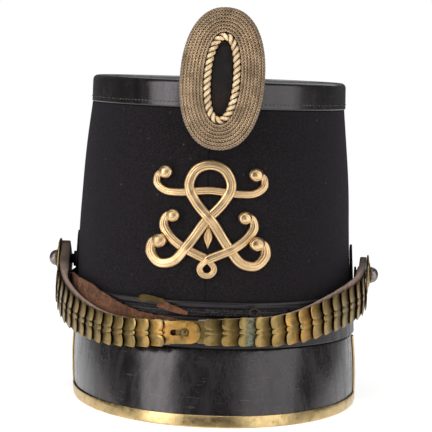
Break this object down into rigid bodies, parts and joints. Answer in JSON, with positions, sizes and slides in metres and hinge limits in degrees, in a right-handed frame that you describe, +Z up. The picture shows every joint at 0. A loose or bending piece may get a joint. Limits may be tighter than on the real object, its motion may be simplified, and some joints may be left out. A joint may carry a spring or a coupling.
{
  "type": "shako hat",
  "caption": "Tall cloth-covered shako with a leather lid, lower band and two peaks, brass edge trim, scaled chin strap, gilt scrollwork ornament and oval braid badge.",
  "frame": {"origin": "middle of the hat's box at the floor it stands on", "axes": "+Z up, the front faces -Y, +X to the right as seen from the front"},
  "size_m": [0.2108, 0.2528, 0.2446],
  "materials": {
    "cloth": "dark woollen cloth over felt, nearly black navy",
    "patent_leather": "black patent leather, glossy with fine crazing",
    "trim_brass": "satin brass, lightly tarnished",
    "scale_brass": "antique brass with dark tarnish and a little verdigris",
    "button_metal": "tarnished grey metal",
    "strap_leather": "worn brown leather",
    "suede": "brown suede, flesh side out",
    "metal_braid": "tarnished silver-gilt wire braid",
    "velvet": "black velvet",
    "gilt": "gilt, satin with worn highlights"
  },
  "bodies": {
    "root": {"body_shell": "cloth", "crown_lid": "patent_leather", "lower_band": "patent_leather", "front_peak": "patent_leather", "peak_trim": "trim_brass", "neck_guard": "patent_leather", "side_tab_left": "patent_leather", "side_tab_right": "patent_leather", "boss_post_left": "scale_brass", "boss_post_right": "scale_brass", "boss_disc_left": "scale_brass", "boss_disc_right": "scale_brass", "boss_button_left": "button_metal", "boss_button_right": "button_metal", "strap_leather_left": "strap_leather", "strap_leather_right": "strap_leather", "scale_left_01": "scale_brass", "scale_left_02": "scale_brass", "scale_left_03": "scale_brass", "scale_left_04": "scale_brass", "scale_left_05": "scale_brass", "scale_left_06": "scale_brass", "scale_left_07": "scale_brass", "scale_left_08": "scale_brass", "scale_left_09": "scale_brass", "scale_left_10": "scale_brass", "scale_left_11": "scale_brass", "scale_left_12": "scale_brass", "scale_left_13": "scale_brass", "scale_left_14": "scale_brass", "scale_right_01": "scale_brass", "scale_right_02": "scale_brass", "scale_right_03": "scale_brass", "scale_right_04": "scale_brass", "scale_right_05": "scale_brass", "scale_right_06": "scale_brass", "scale_right_07": "scale_brass", "scale_right_08": "scale_brass", "scale_right_09": "scale_brass", "scale_right_10": "scale_brass", "scale_right_11": "scale_brass", "scale_right_12": "scale_brass", "scale_right_13": "scale_brass", "scale_right_14": "scale_brass", "scale_right_15": "scale_brass", "end_plate_left": "scale_brass", "end_plate_right": "scale_brass", "strap_stud": "scale_brass", "strap_lining": "suede", "lining_tongue": "suede", "band_loop": "scale_brass", "badge_body": "metal_braid", "badge_cord": "metal_braid", "badge_centre": "velvet", "badge_post": "button_metal", "emblem": "gilt"}
  },
  "joints": []
}
